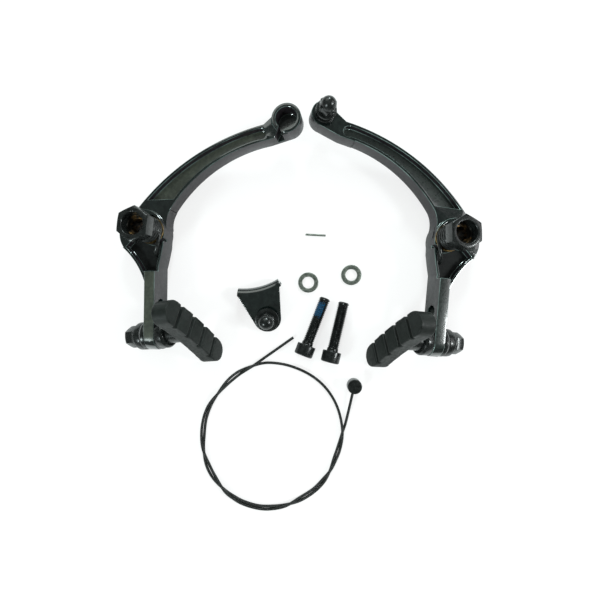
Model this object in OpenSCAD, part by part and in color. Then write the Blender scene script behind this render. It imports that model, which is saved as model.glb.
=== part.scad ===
// U-brake set laid out on a table: two forged arms with their pivot stacks and pads,
// cable hanger, straddle cable, two mounting bolts, two boss washers and a spring pin.
// Each arm is drawn flat in its own frame: the pivot axis is Z, the rear face is Z = 0,
// +X points to the wheel side and +Y to the cable end. It is then rolled onto its pad.

/* [Arm lever] */
// Distance of the cable end from the pivot, across
tip_x = 69.7; // [60:0.1:80]
// Distance of the cable end from the pivot, upwards
tip_y = 54.8; // [46:0.1:62]
// Radius of the round cable end
tip_r = 7.5; // [6.8:0.1:9]
// Thickness of the lever
lever_t = 9; // [7.5:0.1:10.5]
// Radius of the hollow between the lever and the hub
throat_r = 14; // [10:0.5:18]
// Distance from the neck back to the channel's round end
channel_back = 3; // [1:0.25:6]
// Radius of the left lever's long outer edge
left_outer_r = 118; // [100:1:140]
// Radius of the left lever's inner edge
left_inner_r = 76; // [68:1:84]
// Radius of the right lever's long outer edge
right_outer_r = 110; // [96:1:130]
// Radius of the right lever's inner edge
right_inner_r = 76; // [68:1:84]
// Width of the rim that stands around the recesses
rim_w = 1.5; // [1.2:0.1:2]
// Depth of the long channel in the lever
channel_d = 3.4; // [1:0.1:4.5]

/* [Arm hub] */
// Radius of the hub's round lobe
hub_r = 12.4; // [11.8:0.1:14]
// Thickness of the hub
hub_t = 11; // [10:0.1:13]
// Depth of the spring well in the hub
well_d = 4; // [2:0.1:5.5]
// Radius of the boss that carries the bushing
boss_r = 6.9; // [6.6:0.1:7.5]
// Radius of the hollow curve between hub and pad bar
web_curve_r = 40; // [36:1:44]

/* [Pad bar] */
// Thickness of the slotted pad bar
bar_t = 5.6; // [4.6:0.1:7]
// Depth of the slotted pad bar
bar_d = 15; // [13:0.1:17]
// Distance of the bar's outer face beyond the pivot axis
bar_out = 1.6; // [0.6:0.1:2.6]
// Distance of the lowest stud place below the pivot
stud_drop = 53.5; // [50:0.5:58]
// Travel of the pad stud along the slot
slot_travel = 14.5; // [8:0.5:15]
// Half width of the slot
slot_r = 4.1; // [3.9:0.1:4.6]

/* [Cable end fittings] */
// Radius of the barrel seat in the left arm
cup_bore_r = 5.4; // [4.4:0.1:5.8]
// Height of the cup on the left arm
cup_h = 10; // [9:0.1:12]
// Depth of the barrel seat
cup_depth = 8; // [5:0.1:8.4]
// Width of the cable slot in the cup
cup_slot_w = 3.2; // [2:0.1:4]
// Radius of the boss that carries the anchor bolt
anchor_boss_r = 6.6; // [6:0.1:7.5]
// Radius of the anchor bolts
anchor_r = 2.5; // [2:0.1:2.8]
// Radius of the cable hole in an anchor bolt
cable_hole_r = 1.1; // [0.9:0.05:1.3]
// Radius of the low head behind an anchor bolt
anchor_head_r = 4.4; // [3.6:0.1:5.4]
// Height of the low head behind an anchor bolt
anchor_head_h = 2; // [1.4:0.1:3]
// Room for the cable between the faces that clamp it
cable_gap = 2.3; // [2.3:0.1:3]
// Width across the flats of the domed nuts
cap_nut_af = 8; // [7:0.1:9]
// Height of a domed nut
cap_nut_h = 8.5; // [7.5:0.1:10]
// Radius of the anchor washers
anchor_washer_r = 5.2; // [4.6:0.1:6]
// Thickness of the anchor washers
washer_t = 1.2; // [0.8:0.1:2]

/* [Pivot stack] */
// Outer radius of the bushing
bush_r = 6; // [5.4:0.05:6.3]
// Radius of the bore for the frame post
post_bore_r = 5.05; // [4.7:0.05:5.3]
// Thickness of the bushing's flange
bush_flange_t = 1.2; // [0.8:0.1:2]
// Width across the flats of the tension nut
tension_nut_af = 15; // [14:0.1:17]
// Height of the tension nut's hexagon
tension_nut_h = 7; // [5:0.1:9]
// Radius of the round recess for the bolt head
recess_r = 5.4; // [5.2:0.05:6]
// Depth of the recess for the bolt head
recess_d = 5.6; // [3:0.1:6]
// Radius of the tension nut's sleeve
sleeve_r = 4.4; // [4:0.05:4.5]
// Radius of the hole for the mounting bolt
bolt_hole_r = 3.25; // [3.1:0.05:3.6]
// Outer radius of the return spring
spring_r = 6.8; // [6.7:0.05:7]
// Radius of the spring wire
spring_wire_r = 0.9; // [0.7:0.05:0.95]
// Turns of the return spring
spring_turns = 4; // [3:1:5]
// Height of the coiled stretch of the return spring
spring_h = 8.8; // [8.2:0.1:11]

/* [Pad and stud] */
// Length of the brake pad
pad_len = 49.5; // [40:0.5:54]
// Width of the brake pad
pad_w = 12; // [10:0.1:14]
// Thickness of the brake pad
pad_t = 8.6; // [7.5:0.1:11]
// Radius of the curve along the pad
pad_curve_r = 200; // [150:5:300]
// Depth of the grooves across the pad's face
groove_d = 1.7; // [1:0.1:4]
// Radius of the rounded groove bottoms
groove_r = 0.9; // [0.6:0.1:1.6]
// Radius of the pad stud
stud_r = 3; // [2.5:0.1:3.05]
// Distance from the ball centre to the pad's back
pad_back = 17.6; // [14.5:0.1:19]
// Length of stud outside the pad nut
stud_end = 1.2; // [0.5:0.1:3]
// Radius of the stud's shoulder
shoulder_r = 5; // [4:0.1:6]
// Radius of the domed and cupped washers
ball_washer_r = 7.2; // [6.8:0.1:7.4]
// Radius of the ball shape on the domed washers
ball_r = 8.6; // [8.4:0.1:9.4]
// Distance from the ball centre to the flat of a cupped washer
cup_flat = 9.6; // [9.4:0.1:11]
// Radius of the flat washer under the pad nut
flat_washer_r = 5.9; // [5.4:0.1:6.5]
// Thickness of the flat washer under the pad nut
flat_washer_t = 1.2; // [0.8:0.1:2]
// Width across the flats of the pad nut
pad_nut_af = 10; // [9:0.1:11]
// Height of the pad nut
pad_nut_h = 5; // [4:0.1:6]

/* [Loose hardware] */
// Radius of the mounting bolts
bolt_r = 3; // [2.4:0.1:3.1]
// Length of a mounting bolt below its head
bolt_len = 27; // [16:0.5:40]
// Radius of a mounting bolt's head
bolt_head_r = 5; // [4:0.1:5.2]
// Height of a mounting bolt's head
bolt_head_h = 6; // [4:0.1:8]
// Width across the flats of the bolt's hexagon socket
socket_af = 5; // [4:0.1:6]
// Radius of the boss washers
boss_washer_r = 5.5; // [5:0.1:8]
// Hole radius of the boss washers
boss_washer_hole_r = 3.2; // [3.1:0.05:4]
// Thickness of the boss washers
boss_washer_t = 1.6; // [0.8:0.1:3]
// Radius of the spring pin
pin_r = 0.55; // [0.4:0.05:1]
// Length of the spring pin
pin_len = 11; // [8:0.5:16]

/* [Cable hanger] */
// Thickness of the hanger's plate
hanger_t = 2; // [1.5:0.1:2.6]
// Radius of the plate around its bolt
hanger_end_r = 7.4; // [6.5:0.1:9]
// Outer radius of the rolled lip
lip_r = 3.6; // [3:0.1:4.2]
// Radius of the hollow top edge
saddle_r = 35; // [28:1:50]
// Radius of the hanger's washer
hanger_washer_r = 6.2; // [5.5:0.1:7]

/* [Straddle cable] */
// Radius of the straddle cable
cable_r = 0.75; // [0.5:0.05:0.9]
// Radius of the cable's barrel
barrel_r = 3.9; // [3:0.1:5]
// Height of the cable's barrel
barrel_h = 6; // [5:0.1:9]

/* [Layout] */
// Roll of each arm towards its outer edge
arm_roll = 8.5; // [5:0.5:12]
// Tilt of each pad stud in its ball washers
stud_tilt = 14; // [8:0.5:15]
// Turn of the left pad about its stud
left_pad_turn = 33; // [20:1:45]
// Turn of the right pad about its stud
right_pad_turn = 29; // [20:1:45]
// Turn of each tension nut from square
nut_turn = 7; // [0:1:29]

/* [Hidden] */
$fn = 96;

// Running clearance of a shaft in its bore, and small gap between faces that turn
run_gap = 0.05;
face_gap = 0.1;
seat_gap = 0.05;
ball_gap = 0.12;
// Overlap used only inside one solid, and overshoot of a cut
sink = 0.5;
past = 1;

// The layout: where each thing lies, from the point under the camera
set_centre = [0, 32];
left_at = [-74.6, 35.3];
right_at = [74.1, 31.3];
right_spin = -6;
arm_pitch = 1.5;
arm_lift = 3.55;
left_stud_yaw = 6;
right_stud_yaw = -1;
hanger_at = [-17.5, -9.5];
hanger_slope = 11.5;
bolt_at = [[2.6, -26.9], [16.5, -30.4]];
bolt_heading = [-21.5, -13.9];
washer_at = [[4.5, 9.5], [27.9, 13.6]];
pin_at = [8.5, 35.4];
pin_heading = -3;
barrel_at = [29.3, -46.4];

// Arm outline, worked out from the sizes above
tip = [tip_x, tip_y];
hub_at = [-5.4, -1];
bar_x0 = -bar_out;
bar_x1 = bar_x0 + bar_t;
bar_mid = (bar_x0 + bar_x1) / 2;
bar_end_r = bar_d / 2;
slot_z = bar_d / 2;
slot_top = -stud_drop + slot_travel;
seat_top = slot_top + ball_washer_r + 0.6;
bar_top = -21;
web_join_y = -39;
web_curve_at = [bar_x0 - web_curve_r, web_join_y];
left_outer_from = [-7.8, 13.6];
right_outer_from = [-9.6, 15.3];
outer_to = tip + [-11.6, -2.2];
left_inner_from = [hub_at.x + hub_r, 8];
right_inner_from = [hub_at.x + hub_r - 1.5, 11.5];
inner_to = tip + [-9, -10.2];
throat_drop = 4.4;
left_lever = [left_outer_from, left_outer_r, left_inner_from, left_inner_r];
right_lever = [right_outer_from, right_outer_r, right_inner_from, right_inner_r];
well_floor = hub_t - well_d;
web_rim = 1.4;
channel_end_y = 16.5;
neck_across = outer_to - inner_to;
channel_turn = atan2(neck_across.y, neck_across.x) - 90;
channel_end_r = norm(neck_across) / 2 - rim_w;
channel_end_at = (outer_to + inner_to) / 2 - channel_back * [cos(channel_turn), sin(channel_turn)];

// Heights in the pivot stack, from the arm's rear face
flange_z = hub_t + face_gap;
spring_z = flange_z + bush_flange_t + face_gap + spring_wire_r;
spring_mean_r = spring_r - spring_wire_r;
nut_z = spring_z + spring_h + spring_wire_r + face_gap;
sleeve_z = hub_t - 1.5;
post_bore_h = sleeve_z - 1;

// Places along the pad stud, from the ball centre
dome_foot = bar_t / 2 + seat_gap;
washer_hole_r = stud_r + run_gap;
dome_hole_r = stud_r + 2.5;
washer_back = cup_flat + seat_gap + flat_washer_t;
nut_back = washer_back + pad_nut_h;
plate_t = 1.6;
plate_size = [24, 6];
pad_blocks = 5;

// Heights on an anchor bolt, from the face that the cable is clamped on
clamp_z = cable_gap + washer_t + face_gap;
cap_dome_r = cap_nut_af / 2 - 0.1;
cap_hex_h = cap_nut_h - cap_dome_r;
anchor_face = lever_t + washer_t + face_gap;

// Cable hanger: its hollow top edge, its rolled lip, which stands a little proud of the plate,
// and the height at which it rests
edge_from = [-15.7, 15.8];
edge_to = [5.6, 21];
saddle_at = arc_centre(edge_to, edge_from, saddle_r);
saddle_angle = 2 * asin(norm(edge_to - edge_from) / 2 / saddle_r);
saddle_start = atan2(edge_from.y - saddle_at.y, edge_from.x - saddle_at.x);
lip_foot = 0.3;
lip_rise = 0.06;
hanger_rest = (anchor_head_h + seat_gap) * cos(hanger_slope) + anchor_head_r * sin(hanger_slope);

// Points of the loop that the cable runs round twice: x, y and the side on which the
// first turn lies, 1 inside, -1 outside and 0 where the two turns cross
loop = [
  [23, -72.4, 0], [21, -81.2, 1], [18.8, -87, 0.8], [16.6, -92, 0], [13.1, -97.8, -0.9],
  [7.8, -103.4, -1], [0, -108.4, -1], [-7.6, -111.4, 0], [-15.3, -113, 1], [-23, -112.7, 1],
  [-31, -110.3, 1], [-36, -107.4, 0.7], [-40.8, -103.5, 0], [-46.6, -96.7, -1], [-50.4, -89.3, -1],
  [-52.4, -81.2, 0], [-52.9, -74, 1], [-52, -65.4, 1], [-49.3, -57.7, 0.8], [-44.9, -51.2, 0],
  [-39.2, -44.6, -1], [-33, -39.6, -1], [-26, -36, 0]
];
loop_mid = [-15, -74];
lead_in = [[28.6, -49.3, 3], [27.4, -55, 2.4], [26.2, -61, 1.2], [24.8, -67, cable_r]];
top_arc = [
  [-20.7, -34.5], [-15.3, -34.2], [-7.6, -35.3], [0, -37.9], [7.2, -41.8], [13.6, -47.4],
  [18.6, -54.6], [21.8, -63]
];
lead_out = [[-19.1, -31.3], [-11, -25.6], [-3.6, -20.4]];
turn_gap = 0.8;
cross_rise = 2 * cable_r + 0.06;

function unit(v) = v / norm(v);
function flat(v) = [v.x, v.y];
// Centre of the circle of radius r through p and q that curves to the right of p to q
function arc_centre(p, q, r) =
  let (half = (q - p) / 2, side = unit([half.y, -half.x]))
  p + half + side * sqrt(r * r - half * half);
// A smooth curve through the given points, with one more point between each two
function between(p, i) =
  let (n = len(p), a = p[max(i - 1, 0)], b = p[i], c = p[i + 1], d = p[min(i + 2, n - 1)])
  (9 * (b + c) - a - d) / 16;
function smooth(p) = [
  for (i = [0:2 * len(p) - 2])
    let (q = i % 2 == 0 ? p[i / 2] : between(p, floor(i / 2)))
    [q.x, q.y, max(q.z, cable_r)]
];
// One turn of the loop: the second turn lies on the other side and rises at each crossing
function turn_points(sign, rise) = [
  for (q = loop)
    let (p = flat(q) + sign * q.z * turn_gap * unit(loop_mid - flat(q)))
    [p.x, p.y, cable_r + rise * (1 - abs(q.z))]
];
function low(points) = [for (p = points) [p.x, p.y, cable_r]];
cable_route = concat(
  lead_in, turn_points(1, 0), low(top_arc), turn_points(-1, cross_rise), low(lead_out)
);

// A round wire swept along a path
module wire(path, r, sides = 8) {
  count = len(path);
  function ring(i) =
    let (t = unit(path[min(i + 1, count - 1)] - path[max(i - 1, 0)]),
         s = unit(cross(t, [0, 0, 1])), u = cross(s, t))
    [for (k = [0:sides - 1]) let (a = 360 * (k + 0.5) / sides) path[i] + r * (cos(a) * s + sin(a) * u)];
  points = [for (i = [0:count - 1]) each ring(i)];
  walls = [
    for (i = [0:count - 2], k = [0:sides - 1])
      let (m = (k + 1) % sides)
      [i * sides + k, i * sides + m, (i + 1) * sides + m, (i + 1) * sides + k]
  ];
  start = [for (k = [0:sides - 1]) sides - 1 - k];
  finish = [for (k = [0:sides - 1]) (count - 1) * sides + k];
  polyhedron(points = points, faces = concat([start], walls, [finish]), convexity = 10);
}

module ring_shape(outer, inner, h) {
  difference() {
    cylinder(r = outer, h = h);
    translate([0, 0, -past]) cylinder(r = inner, h = h + 2 * past);
  }
}

module hexagon(af, h) {
  rotate([0, 0, 30]) cylinder(r = af / 2 / cos(30), h = h, $fn = 6);
}

// Where things lie
module in_set() {
  translate([-set_centre.x, -set_centre.y, 0]) children();
}

module on_left() {
  in_set() translate([left_at.x, left_at.y, arm_lift]) rotate([-arm_pitch, -arm_roll, 0]) children();
}

module on_right() {
  in_set() translate([right_at.x, right_at.y, arm_lift]) rotate([-arm_pitch, arm_roll, 0])
    rotate([0, 0, right_spin]) mirror([1, 0, 0]) children();
}

module on_stud(yaw) {
  translate([bar_mid, -stud_drop, slot_z]) rotate([0, 90 - stud_tilt, yaw]) children();
}

module on_left_stud() {
  on_left() on_stud(left_stud_yaw) children();
}

module on_right_stud() {
  on_right() on_stud(right_stud_yaw) children();
}

module on_left_pad() {
  on_left_stud() rotate([0, 0, -left_pad_turn]) children();
}

module on_right_pad() {
  on_right_stud() rotate([0, 0, -right_pad_turn]) children();
}

module on_hanger() {
  in_set() translate([hanger_at.x, hanger_at.y, hanger_rest]) rotate([hanger_slope, 0, 0]) children();
}

// Arm: a lever is given by where its outer edge starts and its radius, and the same for its inner edge
module lever_outline(lever, inset = 0) {
  from = lever[0];
  outer_at = arc_centre(from, outer_to, lever[1]);
  inner_at = arc_centre(lever[2], inner_to, lever[3]);
  difference() {
    intersection() {
      translate(outer_at) circle(r = lever[1] - inset);
      polygon([[hub_at.x - hub_r, 0], from + [-12, 4], outer_to + [-20, 12], outer_to, inner_to,
               inner_to + [0, -6], [0, -2]]);
    }
    translate(inner_at) circle(r = lever[3] + inset);
  }
}

module neck_outline(end_r) {
  polygon([outer_to + [-8, -3], outer_to, tip + end_r * [-0.87, 0.3], tip + end_r * [0.2, -0.98],
           inner_to, inner_to + [-8, -1.5]]);
}

// The hollow curve that leads from the lever's inner edge into the hub
module throat_outline(lever) {
  from = lever[2];
  edge_x = hub_at.x + hub_r - 0.1;
  difference() {
    polygon([[0, 0], [edge_x, 0], [edge_x, from.y - throat_r / 2], from + [4, 2], from + [1.6, 3.4],
             [0, from.y]]);
    translate(from + [throat_r, -throat_drop]) circle(r = throat_r);
  }
}

module hub_outline(inset = 0) {
  translate(hub_at) circle(r = hub_r - inset);
}

module web_outline(inset = 0) {
  edge_x = hub_at.x + hub_r - inset;
  difference() {
    polygon([[hub_at.x - hub_r * 0.55 + inset, -5], [edge_x - 0.3, -2], [edge_x - 0.6, -8],
             [bar_x1 + 1.2 - inset, -14],
             [bar_x1 - inset, -19], [bar_x1 - inset, web_join_y], [bar_x0, web_join_y],
             [bar_x0 - web_curve_r, web_join_y], [hub_at.x - hub_r * 0.9 + inset, -9]]);
    translate(web_curve_at) circle(r = web_curve_r + inset);
    // the flat seat of the ball washers on the bar's outer face
    translate([bar_x0 - 20, seat_top - 60]) square([20, 60]);
  }
}

module well_outline() {
  intersection() {
    union() {
      circle(r = boss_r + rim_w);
      difference() {
        web_outline(web_rim);
        translate([-40, bar_top - 40]) square([80, 40]);
      }
    }
    union() {
      hub_outline(web_rim);
      translate([-40, -60]) square([80, 56]);
    }
  }
}

module pad_bar() {
  translate([bar_x0, -stud_drop, 0]) cube([bar_t, stud_drop + bar_top, bar_d]);
  translate([bar_x0, -stud_drop, slot_z]) rotate([0, 90, 0]) cylinder(r = bar_end_r, h = bar_t);
}

// The slot that the pad stud slides in, cut through the bar and the web beside it
module pad_slot() {
  translate([bar_x0 - past, -stud_drop, slot_z - slot_r])
    cube([bar_t + 2 * past, slot_travel, 2 * slot_r]);
  for (y = [-stud_drop, slot_top])
    translate([bar_x0 - past, y, slot_z]) rotate([0, 90, 0]) cylinder(r = slot_r, h = bar_t + 2 * past);
}

// The long channel in the lever: square at the hub, with a round end near the tip
module channel_outline(lever) {
  difference() {
    lever_outline(lever, rim_w);
    translate([-tip.x, channel_end_y - tip.x]) square([2 * tip.x, tip.x]);
    translate(channel_end_at) rotate(channel_turn) translate([0, -tip.x]) square(2 * tip.x);
  }
  translate(channel_end_at) circle(r = channel_end_r);
}

module arm_blank(lever, end_r) {
  difference() {
    union() {
      linear_extrude(height = lever_t) lever_outline(lever);
      linear_extrude(height = lever_t) neck_outline(end_r);
      linear_extrude(height = lever_t) throat_outline(lever);
      linear_extrude(height = hub_t) hub_outline();
      linear_extrude(height = hub_t) web_outline();
    }
    translate([0, 0, lever_t - channel_d]) linear_extrude(height = hub_t) channel_outline(lever);
    // the spring well and the pocket below it
    translate([0, 0, well_floor]) linear_extrude(height = hub_t) well_outline();
  }
  pad_bar();
}

module arm_bored(lever, end_r) {
  difference() {
    union() {
      arm_blank(lever, end_r);
      cylinder(r = boss_r, h = hub_t);
    }
    translate([0, 0, -past]) cylinder(r = bush_r + run_gap, h = hub_t + 2 * past);
    pad_slot();
  }
}

module left_arm() {
  color("#1b1c1e") on_left() difference() {
    union() {
      arm_bored(left_lever, tip_r);
      translate(tip) cylinder(r = tip_r, h = cup_h);
    }
    translate([tip.x, tip.y, cup_h - cup_depth]) cylinder(r = cup_bore_r, h = cup_depth + past);
    translate([tip.x, tip.y, 0]) rotate([0, 0, 245]) translate([0, -cup_slot_w / 2, cup_h - cup_depth])
      cube([tip_r + 3 * past, cup_slot_w, cup_depth + past]);
  }
}

module right_arm() {
  color("#1b1c1e") on_right() difference() {
    union() {
      arm_bored(right_lever, anchor_boss_r);
      translate(tip) cylinder(r = anchor_boss_r, h = lever_t);
    }
    translate([tip.x, tip.y, -past]) cylinder(r = anchor_r + run_gap, h = cup_h + 2 * past);
  }
}

// Pivot stack
module bushing() {
  difference() {
    union() {
      cylinder(r = bush_r, h = flange_z + sink);
      translate([0, 0, flange_z]) cylinder(r = boss_r, h = bush_flange_t);
    }
    translate([0, 0, -past]) cylinder(r = post_bore_r, h = post_bore_h + past);
    translate([0, 0, post_bore_h]) cylinder(r = sleeve_r + run_gap, h = hub_t + bush_flange_t);
  }
}

module return_spring() {
  steps = spring_turns * 20;
  coil = [
    for (i = [0:steps])
      let (a = 360 * i / 20)
      [spring_mean_r * cos(a), spring_mean_r * sin(a), spring_z + spring_h * i / steps]
  ];
  leg = [
    [2.2, -13, well_floor + 1.6], [2.4, -12.4, well_floor + 3], [3, -11, spring_z - 1.3],
    [4.2, -8, spring_z - 0.3], [5.4, -3.6, spring_z]
  ];
  wire(concat(leg, coil), spring_wire_r);
}

module tension_nut() {
  difference() {
    union() {
      translate([0, 0, nut_z]) hexagon(tension_nut_af, tension_nut_h);
      translate([0, 0, sleeve_z]) cylinder(r = sleeve_r, h = nut_z - sleeve_z + sink);
    }
    translate([0, 0, nut_z + tension_nut_h - recess_d]) cylinder(r = recess_r, h = recess_d + past);
    translate([0, 0, -past]) cylinder(r = bolt_hole_r, h = nut_z + tension_nut_h + 2 * past);
  }
}

module left_bushing() { color("#b08a45") on_left() bushing(); }
module right_bushing() { color("#b08a45") on_right() bushing(); }
module left_return_spring() { color("#2a2b2d") on_left() return_spring(); }
module right_return_spring() { color("#2a2b2d") on_right() return_spring(); }
module left_tension_nut() { color("#232426") on_left() rotate([0, 0, -nut_turn]) tension_nut(); }
module right_tension_nut() { color("#232426") on_right() rotate([0, 0, -nut_turn]) tension_nut(); }

// Pad, stud and ball washers
module pad_outline() {
  end_x = pad_len / 2 - pad_w / 2;
  function end_at(x) = [x, sqrt(pad_curve_r * pad_curve_r - x * x) - pad_curve_r];
  intersection() {
    translate([0, -pad_curve_r]) difference() {
      circle(r = pad_curve_r + pad_w / 2, $fn = 360);
      circle(r = pad_curve_r - pad_w / 2, $fn = 360);
    }
    union() {
      translate([-end_x, -pad_w]) square([2 * end_x, 2 * pad_w]);
      for (s = [-1, 1]) translate(end_at(s * end_x)) circle(r = pad_w / 2);
    }
  }
}

module pad_block() {
  pitch = pad_len / pad_blocks;
  groove_z = pad_back + pad_t - groove_d + groove_r;
  difference() {
    translate([0, 0, pad_back]) linear_extrude(height = pad_t) pad_outline();
    for (i = [1:pad_blocks - 1]) translate([i * pitch - pad_len / 2, 0, groove_z]) {
      rotate([90, 0, 0]) cylinder(r = groove_r, h = 2 * pad_w, center = true);
      translate([-groove_r, -pad_w, 0]) cube([2 * groove_r, 2 * pad_w, pad_t]);
    }
    translate([0, 0, pad_back - past]) cylinder(r = stud_r, h = past + sink);
    embedded_plate();
  }
}

module embedded_plate() {
  translate([-plate_size.x / 2, -plate_size.y / 2, pad_back + sink])
    cube([plate_size.x, plate_size.y, plate_t]);
}

module pad_stud() {
  foot = pad_back + sink + sink;
  translate([0, 0, -nut_back - stud_end]) cylinder(r = stud_r, h = nut_back + stud_end + foot);
  translate([0, 0, cup_flat + seat_gap]) cylinder(r = shoulder_r, h = pad_back - cup_flat - seat_gap);
  embedded_plate();
}

module pad_nut() {
  translate([0, 0, -nut_back]) difference() {
    hexagon(pad_nut_af, pad_nut_h);
    translate([0, 0, -past]) cylinder(r = washer_hole_r, h = pad_nut_h + 2 * past);
  }
}

module pad_washer() {
  translate([0, 0, -washer_back]) ring_shape(flat_washer_r, washer_hole_r, flat_washer_t);
}

// The cupped washer turns with the stud, round the ball centre
module cup_washer() {
  difference() {
    translate([0, 0, dome_foot + sink]) cylinder(r = ball_washer_r, h = cup_flat - dome_foot - sink);
    sphere(r = ball_r + ball_gap);
    cylinder(r = washer_hole_r, h = cup_flat + past);
  }
}

// The domed washer stays square to the bar
module dome_washer() {
  intersection() {
    difference() {
      translate([0, 0, dome_foot]) cylinder(r = ball_washer_r, h = ball_r);
      cylinder(r = dome_hole_r, h = ball_r + dome_foot + past);
    }
    sphere(r = ball_r);
  }
}

module on_bar(flip) {
  translate([bar_mid, -stud_drop, slot_z]) rotate([0, flip ? -90 : 90, 0]) children();
}

module left_pad_block() { color("#202122") on_left_pad() pad_block(); }
module right_pad_block() { color("#202122") on_right_pad() pad_block(); }
module left_pad_stud() { color("#2c2d2f") on_left_pad() pad_stud(); }
module right_pad_stud() { color("#2c2d2f") on_right_pad() pad_stud(); }
module left_pad_nut() { color("#242527") on_left_stud() pad_nut(); }
module right_pad_nut() { color("#242527") on_right_stud() pad_nut(); }
module left_pad_washer() { color("#2a2b2d") on_left_stud() pad_washer(); }
module right_pad_washer() { color("#2a2b2d") on_right_stud() pad_washer(); }
module left_outer_cup_washer() { color("#26272a") on_left_stud() mirror([0, 0, 1]) cup_washer(); }
module right_outer_cup_washer() { color("#26272a") on_right_stud() mirror([0, 0, 1]) cup_washer(); }
module left_inner_cup_washer() { color("#26272a") on_left_stud() cup_washer(); }
module right_inner_cup_washer() { color("#26272a") on_right_stud() cup_washer(); }
module left_outer_dome_washer() { color("#303134") on_left() on_bar(true) dome_washer(); }
module right_outer_dome_washer() { color("#303134") on_right() on_bar(true) dome_washer(); }
module left_inner_dome_washer() { color("#303134") on_left() on_bar(false) dome_washer(); }
module right_inner_dome_washer() { color("#303134") on_right() on_bar(false) dome_washer(); }

// Anchor bolts: a low head behind, a cross hole in front for the cable, and a domed nut
module cap_nut() {
  difference() {
    union() {
      hexagon(cap_nut_af, cap_hex_h);
      intersection() {
        translate([0, 0, cap_hex_h]) sphere(r = cap_dome_r);
        cylinder(r = cap_dome_r, h = cap_nut_h + past);
      }
    }
    translate([0, 0, -past]) cylinder(r = anchor_r + run_gap, h = cap_hex_h + past);
  }
}

// The bolt, for a face in front at height front that the cable is clamped on
module anchor_bolt(front) {
  nut_end = front + clamp_z + face_gap + cap_hex_h;
  difference() {
    union() {
      translate([0, 0, -anchor_head_h - seat_gap]) cylinder(r = anchor_head_r, h = anchor_head_h);
      translate([0, 0, -sink]) cylinder(r = anchor_r, h = nut_end + sink - face_gap);
    }
    translate([0, 0, front + cable_gap / 2]) rotate([90, 0, 0])
      cylinder(r = cable_hole_r, h = 4 * anchor_r, center = true);
  }
}

module anchor_ring(r) {
  ring_shape(r, anchor_r + run_gap, washer_t);
}

module on_anchor(z) {
  on_right() translate([tip.x, tip.y, z]) children();
}

module right_anchor_bolt() { color("#2c2d2f") on_anchor(0) anchor_bolt(anchor_face); }
module right_anchor_washer() { color("#2a2b2d") on_anchor(lever_t + seat_gap) anchor_ring(anchor_washer_r); }
module right_clamp_washer() {
  color("#2a2b2d") on_anchor(anchor_face + cable_gap) anchor_ring(anchor_washer_r);
}

module right_anchor_nut() { color("#242527") on_anchor(anchor_face + clamp_z) cap_nut(); }

// Cable hanger
module hanger_outline() {
  difference() {
    union() {
      circle(r = hanger_end_r);
      polygon([edge_from, edge_from + [0.3, -4.2], [-hanger_end_r * 0.92, -3], [0, -hanger_end_r * 0.6],
               [hanger_end_r, -0.5], [hanger_end_r - 0.8, 17.5], edge_to, edge_from + [10, 10]]);
    }
    translate(saddle_at) circle(r = saddle_r + lip_r);
  }
}

// Half a ring, a little more than half so that it reaches into the plate
module lip_profile() {
  intersection() {
    difference() {
      circle(r = lip_r);
      circle(r = lip_r - hanger_t);
    }
    translate([-lip_r - past, -lip_r - past]) square([lip_r + past + lip_foot, 2 * (lip_r + past)]);
  }
}

module hanger_plate() {
  color("#1d1e20") on_hanger() difference() {
    union() {
      linear_extrude(height = hanger_t) hanger_outline();
      translate([saddle_at.x, saddle_at.y, hanger_t - lip_r + lip_rise]) rotate([0, 0, saddle_start])
        rotate_extrude(angle = saddle_angle) translate([saddle_r + lip_r, 0]) lip_profile();
    }
    translate([0, 0, -past]) cylinder(r = anchor_r + run_gap, h = hanger_t + 2 * past);
  }
}

module hanger_bolt() { color("#2c2d2f") on_hanger() anchor_bolt(hanger_t); }

module hanger_washer() {
  color("#2a2b2d") on_hanger() translate([0, 0, hanger_t + cable_gap]) anchor_ring(hanger_washer_r);
}

module hanger_nut() { color("#242527") on_hanger() translate([0, 0, hanger_t + clamp_z]) cap_nut(); }

// Loose hardware
module mount_bolt(k) {
  droop = atan((bolt_head_r - bolt_r) / bolt_len);
  axis_z = bolt_head_r * cos(droop) + bolt_head_h / 2 * sin(droop);
  in_set() translate([bolt_at[k].x, bolt_at[k].y, axis_z]) rotate([0, 0, bolt_heading[k]])
    rotate([-90 - droop, 0, 0]) translate([0, 0, -bolt_head_h / 2]) difference() {
      union() {
        cylinder(r = bolt_head_r, h = bolt_head_h);
        translate([0, 0, bolt_head_h - sink]) cylinder(r = bolt_r, h = bolt_len + sink);
      }
      translate([0, 0, -past]) hexagon(socket_af, bolt_head_h / 2 + past);
    }
}

module mount_bolt_1() { color("#232426") mount_bolt(0); }
module mount_bolt_2() { color("#232426") mount_bolt(1); }

module boss_washer(k) {
  in_set() translate([washer_at[k].x, washer_at[k].y, 0])
    ring_shape(boss_washer_r, boss_washer_hole_r, boss_washer_t);
}

module boss_washer_1() { color("#8f948c") boss_washer(0); }
module boss_washer_2() { color("#8f948c") boss_washer(1); }

module spring_pin() {
  color("#9a9c98") in_set() translate([pin_at.x, pin_at.y, pin_r]) rotate([0, 90, pin_heading])
    cylinder(r = pin_r, h = pin_len, center = true);
}

// Straddle cable
module straddle_cable() {
  color("#1f2022") in_set() wire(smooth(cable_route), cable_r);
}

module straddle_barrel() {
  heading = flat(lead_in[1]) - barrel_at;
  color("#3a3b3d") in_set() translate([barrel_at.x, barrel_at.y, 0]) difference() {
    cylinder(r = barrel_r, h = barrel_h);
    translate([0, 0, lead_in[0].z]) rotate([0, 90, atan2(heading.y, heading.x)])
      cylinder(r = cable_r + run_gap, h = barrel_r + past);
  }
}

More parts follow.
